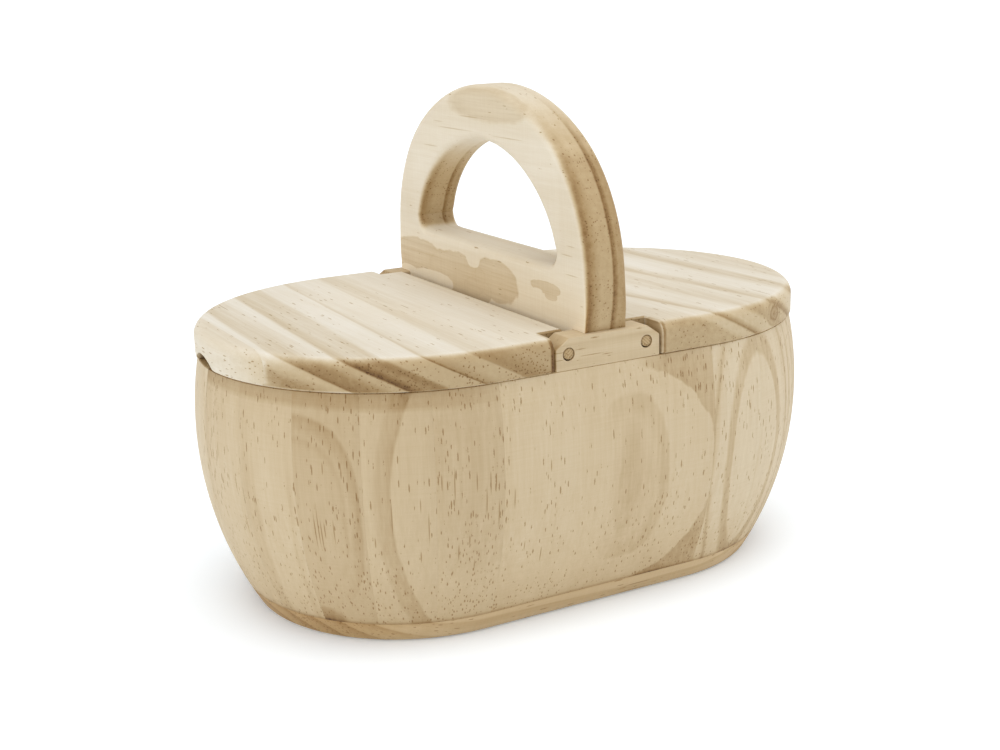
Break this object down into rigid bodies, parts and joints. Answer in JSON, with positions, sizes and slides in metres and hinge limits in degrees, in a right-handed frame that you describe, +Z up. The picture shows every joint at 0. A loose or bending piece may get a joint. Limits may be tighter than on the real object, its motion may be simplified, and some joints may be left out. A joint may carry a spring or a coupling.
{
  "type": "sewing basket",
  "caption": "Long round-ended wooden basket with bulging walls, two hinged half lids that open from the ends and a fixed arch handle across the middle.",
  "frame": {"origin": "centre of the underside of the base board", "axes": "+X along the length of the tub towards the right lid, +Y from the front to the back, +Z up"},
  "size_m": [0.291, 0.187, 0.2235],
  "materials": {
    "wall_wood": "unfinished sanded pine, upright grain",
    "lid_wood": "unfinished sanded pine, grain from front to back",
    "handle_wood": "unfinished sanded pine, flat sawn",
    "block_wood": "unfinished sanded pine, grain along the block",
    "dowel_wood": "unfinished dowel, end grain showing"
  },
  "bodies": {
    "basket": {"base_board": "wall_wood", "front_wall": "wall_wood", "rear_wall": "wall_wood", "left_stave_1": "wall_wood", "left_stave_2": "wall_wood", "left_stave_3": "wall_wood", "left_stave_4": "wall_wood", "left_stave_5": "wall_wood", "left_stave_6": "wall_wood", "left_stave_7": "wall_wood", "left_stave_8": "wall_wood", "left_stave_9": "wall_wood", "left_stave_10": "wall_wood", "right_stave_1": "wall_wood", "right_stave_2": "wall_wood", "right_stave_3": "wall_wood", "right_stave_4": "wall_wood", "right_stave_5": "wall_wood", "right_stave_6": "wall_wood", "right_stave_7": "wall_wood", "right_stave_8": "wall_wood", "right_stave_9": "wall_wood", "right_stave_10": "wall_wood", "front_hinge_block": "block_wood", "rear_hinge_block": "block_wood", "handle": "handle_wood", "front_foot_dowel": "dowel_wood", "rear_foot_dowel": "dowel_wood", "front_left_block_dowel": "dowel_wood", "front_right_block_dowel": "dowel_wood", "rear_left_block_dowel": "dowel_wood", "rear_right_block_dowel": "dowel_wood"},
    "left_lid": {"left_lid": "lid_wood", "left_lid_tip": "lid_wood", "left_lid_front_pin": "dowel_wood", "left_lid_rear_pin": "dowel_wood"},
    "right_lid": {"right_lid": "lid_wood", "right_lid_tip": "lid_wood", "right_lid_front_pin": "dowel_wood", "right_lid_rear_pin": "dowel_wood"}
  },
  "joints": [
    {"name": "left_lid_hinge", "type": "hinge", "parent": "basket", "child": "left_lid", "pos_m": [-0.019, 0, 0.12075], "axis": [0, 1, 0], "range_deg": [0, 90]},
    {"name": "right_lid_hinge", "type": "hinge", "parent": "basket", "child": "right_lid", "pos_m": [0.019, 0, 0.12075], "axis": [0, -1, 0], "range_deg": [0, 90]}
  ]
}
